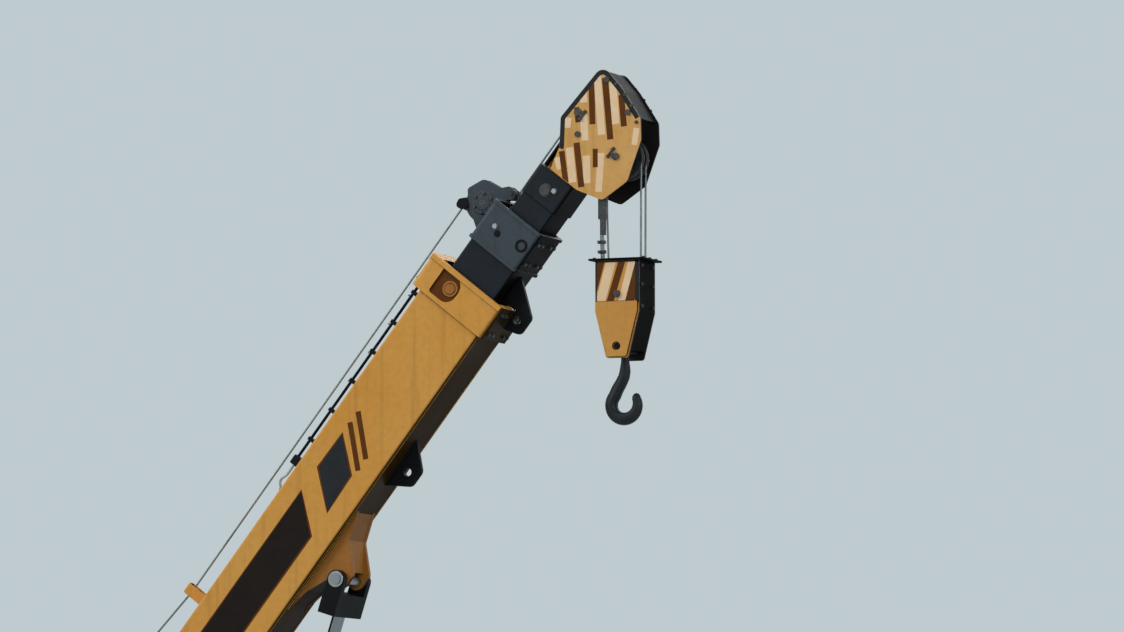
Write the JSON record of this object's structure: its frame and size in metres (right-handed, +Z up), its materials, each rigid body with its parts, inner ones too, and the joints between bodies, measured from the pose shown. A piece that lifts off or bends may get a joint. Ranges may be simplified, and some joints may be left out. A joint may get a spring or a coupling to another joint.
{
  "type": "telescopic crane boom",
  "caption": "Telescopic box boom of a mobile crane, raised, with hoist winch, rope, striped head and hook block with a swivelling hook, and its lift cylinder.",
  "frame": {"origin": "centre of the bore of the boom foot, where the boom pivots on its machine", "axes": "+Z up, +Y along the foot pin, the boom points up and forward to +X at 52 degrees"},
  "size_m": [4.5393, 0.606, 5.74],
  "materials": {
    "amber_paint": "amber gloss enamel, sun-faded, with black stripes and panels",
    "black_paint": "slate black enamel, dusty",
    "bare_steel": "greased machined steel",
    "forged_steel": "forged and blackened steel",
    "wire_rope": "stranded galvanised wire rope",
    "nylon_pad": "cast nylon slide pads",
    "cable_rail": "brown and amber painted rail"
  },
  "bodies": {
    "base": {"base_webs": "amber_paint", "base_flanges": "amber_paint", "base_collar": "amber_paint", "window_bosses": "amber_paint", "base_pads": "nylon_pad", "foot_boss": "amber_paint", "foot_cheeks": "amber_paint", "lift_bracket": "amber_paint", "bracket_box": "amber_paint", "lift_pin": "bare_steel", "winch_frame": "amber_paint", "winch_ties": "amber_paint", "winch_motor": "black_paint", "rope_guide": "amber_paint", "hose_rail": "cable_rail", "base_lug": "black_paint", "rope_base": "wire_rope"},
    "winch_drum": {"winch_drum": "black_paint"},
    "second": {"second_webs": "black_paint", "second_flanges": "black_paint", "second_band": "black_paint", "second_pads": "nylon_pad", "band_lug": "black_paint", "ear_plates": "black_paint", "ear_pin": "bare_steel", "rope_second": "wire_rope"},
    "ear_sheave": {"ear_sheave": "forged_steel"},
    "third": {"third_webs": "black_paint", "third_flanges": "black_paint", "third_collar": "black_paint", "third_pads": "nylon_pad", "lock_pins": "bare_steel", "rope_third": "wire_rope"},
    "head": {"head_webs": "amber_paint", "head_flanges": "amber_paint", "head_plates": "amber_paint", "head_frame": "black_paint", "head_pins": "bare_steel", "sheave_spacers": "bare_steel", "head_pads": "nylon_pad", "rope_head": "wire_rope", "rope_falls": "wire_rope", "rope_dead_end": "wire_rope", "dead_end_socket": "black_paint"},
    "head_sheaves": {"head_sheaves": "forged_steel"},
    "idler_sheave": {"idler_sheave": "forged_steel"},
    "block": {"block_plates": "amber_paint", "block_covers": "black_paint", "block_rim": "black_paint", "block_weights": "amber_paint", "block_pin": "bare_steel", "rope_block": "wire_rope"},
    "block_sheaves": {"block_sheaves": "forged_steel"},
    "crosshead": {"crosshead": "bare_steel"},
    "hook": {"hook": "forged_steel"},
    "lift_rod": {"lift_yoke": "black_paint", "lift_rod": "bare_steel"},
    "lift_barrel": {"lift_barrel": "black_paint", "lift_eye": "black_paint"}
  },
  "joints": [
    {"name": "winch_turn", "type": "hinge", "parent": "base", "child": "winch_drum", "pos_m": [-0.2263, 0, 0.59558], "axis": [0, 1, 0], "continuous": true},
    {"name": "second_slide", "type": "slide", "parent": "base", "child": "second", "axis": [0.6157, 0, 0.788], "range_m": [0, 3]},
    {"name": "ear_sheave_turn", "type": "hinge", "parent": "second", "child": "ear_sheave", "pos_m": [2.9496, 0.05, 4.44289], "axis": [0, 1, 0], "continuous": true},
    {"name": "third_slide", "type": "slide", "parent": "second", "child": "third", "axis": [0.6157, 0, 0.788], "range_m": [0, 3]},
    {"name": "head_slide", "type": "slide", "parent": "third", "child": "head", "axis": [0.6157, 0, 0.788], "range_m": [0, 1.5]},
    {"name": "head_sheaves_turn", "type": "hinge", "parent": "head", "child": "head_sheaves", "pos_m": [3.93796, 0, 4.68464], "axis": [0, 1, 0], "continuous": true},
    {"name": "idler_turn", "type": "hinge", "parent": "head", "child": "idler_sheave", "pos_m": [3.68092, 0.05, 4.97937], "axis": [0, 1, 0], "continuous": true},
    {"name": "hoist", "type": "slide", "parent": "head", "child": "block", "axis": [0, 0, -1], "range_m": [0, 3], "deforming": ["rope_falls", "rope_dead_end"]},
    {"name": "block_sheaves_turn", "type": "hinge", "parent": "block", "child": "block_sheaves", "pos_m": [3.93796, 0, 3.80964], "axis": [0, 1, 0], "continuous": true},
    {"name": "hook_tilt", "type": "hinge", "parent": "block", "child": "crosshead", "pos_m": [3.93796, 0, 3.47464], "axis": [0, 1, 0], "range_deg": [-10, 10]},
    {"name": "hook_swivel", "type": "hinge", "parent": "crosshead", "child": "hook", "pos_m": [3.93796, 0, 3.47464], "axis": [0, 0, 1], "continuous": true},
    {"name": "lift_swing", "type": "hinge", "parent": "base", "child": "lift_rod", "pos_m": [2.02034, 0, 2.02555], "axis": [0, 1, 0], "range_deg": [-1, 18]},
    {"name": "lift_stroke", "type": "slide", "parent": "lift_rod", "child": "lift_barrel", "axis": [-0.3004, 0, -0.9538], "range_m": [-0.97, 0.1]}
  ]
}
